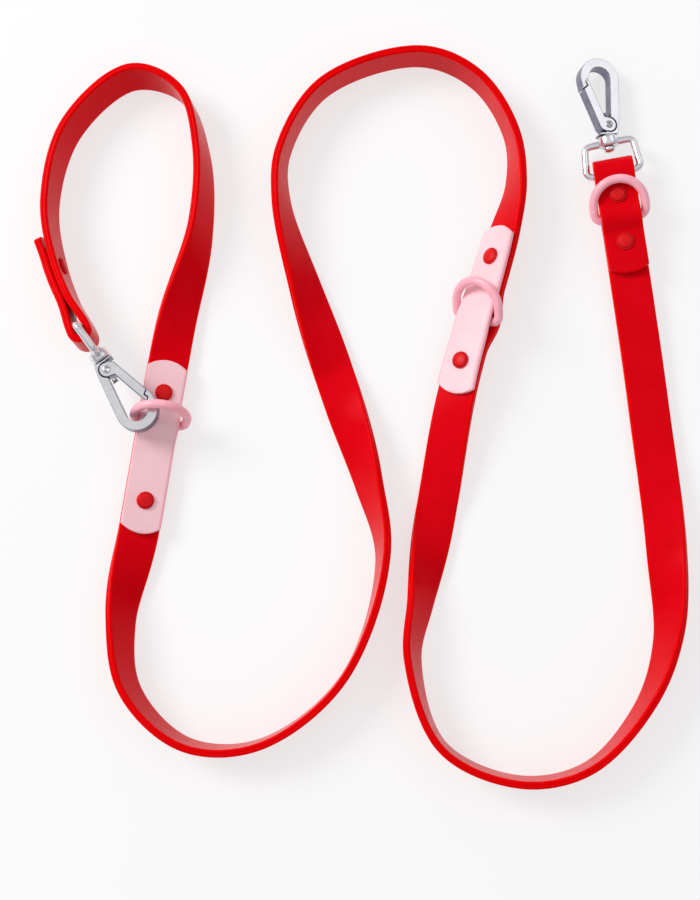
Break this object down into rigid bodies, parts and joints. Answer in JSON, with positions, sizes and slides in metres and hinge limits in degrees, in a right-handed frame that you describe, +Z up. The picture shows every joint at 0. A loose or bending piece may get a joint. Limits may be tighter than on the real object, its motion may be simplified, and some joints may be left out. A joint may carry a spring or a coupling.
{
  "type": "convertible dog lead",
  "caption": "Flat coated dog lead laid out in loose bends, folded and riveted round a swivel snap hook at each end, with riveted tabs and a ring under each, one hook clipped back on a ring.",
  "frame": {"origin": "middle of the outline, on the surface the lead lies on", "axes": "+Z up from that surface, +Y towards the free hook, +X towards the free end"},
  "size_m": [0.3212, 0.3663, 0.0312],
  "materials": {
    "red_coating": "gloss coated webbing",
    "pink_coating": "satin coated webbing",
    "pink_enamel": "gloss enamel",
    "red_rivet": "satin enamel",
    "nickel": "polished nickel plate",
    "steel": "plain steel"
  },
  "bodies": {
    "strap": {"strap": "red_coating", "tab_1": "pink_coating", "tab_2": "pink_coating", "tab_1_rivet_1_cap": "red_rivet", "tab_1_rivet_1_back": "red_rivet", "tab_1_rivet_2_cap": "red_rivet", "tab_1_rivet_2_back": "red_rivet", "tab_2_rivet_1_cap": "red_rivet", "tab_2_rivet_1_back": "red_rivet", "tab_2_rivet_2_cap": "red_rivet", "tab_2_rivet_2_back": "red_rivet", "loop_end_rivet_cap": "red_rivet", "loop_end_rivet_back": "red_rivet", "free_end_rivet_1_cap": "red_rivet", "free_end_rivet_1_back": "red_rivet", "free_end_rivet_2_cap": "red_rivet", "free_end_rivet_2_back": "red_rivet"},
    "eye_1": {"hook_1_eye_frame": "nickel"},
    "hook_1": {"hook_1_body": "nickel", "hook_1_gate_pin": "steel", "hook_1_gate_spring": "steel"},
    "gate_1": {"hook_1_gate": "nickel"},
    "eye_2": {"hook_2_eye_frame": "nickel"},
    "hook_2": {"hook_2_body": "nickel", "hook_2_gate_pin": "steel", "hook_2_gate_spring": "steel"},
    "gate_2": {"hook_2_gate": "nickel"},
    "ring_1": {"d_ring_1": "pink_enamel"},
    "ring_2": {"d_ring_2": "pink_enamel"},
    "ring_3": {"d_ring_3": "pink_enamel"}
  },
  "joints": [
    {"name": "eye_1_swing", "type": "hinge", "parent": "strap", "child": "eye_1", "pos_m": [-0.13648, 0.03843, 0.01575], "axis": [0.0446, -0.0821, -0.9956], "range_deg": [-1, 1]},
    {"name": "hook_1_swivel", "type": "hinge", "parent": "eye_1", "child": "hook_1", "pos_m": [-0.12704, 0.0256, 0.01724], "axis": [0.5899, -0.8021, 0.0926], "range_deg": [-4, 4]},
    {"name": "gate_1_open", "type": "hinge", "parent": "hook_1", "child": "gate_1", "pos_m": [-0.12257, 0.01801, 0.01806], "axis": [0.0446, -0.0821, -0.9956], "range_deg": [0, 4], "stiffness_Nm_per_rad": 0.02, "springref_deg": -20.05, "deforming": ["hook_1_gate_spring"]},
    {"name": "eye_2_swing", "type": "hinge", "parent": "strap", "child": "eye_2", "pos_m": [0.129, 0.12019, 0.00964], "axis": [0.9688, 0.1586, 0.1905], "range_deg": [-75, 95]},
    {"name": "hook_2_swivel", "type": "hinge", "parent": "eye_2", "child": "hook_2", "pos_m": [0.12657, 0.13598, 0.00885], "axis": [-0.1519, 0.9872, -0.0492], "continuous": true},
    {"name": "gate_2_open", "type": "hinge", "parent": "hook_2", "child": "gate_2", "pos_m": [0.12609, 0.14479, 0.0082], "axis": [-0.232, -0.084, -0.9691], "range_deg": [0, 24], "stiffness_Nm_per_rad": 0.02, "springref_deg": -20.05, "deforming": ["hook_2_gate_spring"]},
    {"name": "ring_1_tilt", "type": "hinge", "parent": "strap", "child": "ring_1", "pos_m": [-0.09862, -0.00637, 0.00959], "axis": [0.9568, -0.1516, -0.248], "range_deg": [-2, 6]},
    {"name": "ring_2_tilt", "type": "hinge", "parent": "strap", "child": "ring_2", "pos_m": [0.05965, 0.0451, 0.01098], "axis": [0.753, -0.2655, 0.6021], "range_deg": [0, 110]},
    {"name": "ring_3_tilt", "type": "hinge", "parent": "strap", "child": "ring_3", "pos_m": [0.13216, 0.09721, 0.00893], "axis": [0.9785, 0.1286, 0.1614], "range_deg": [0, 120]}
  ]
}
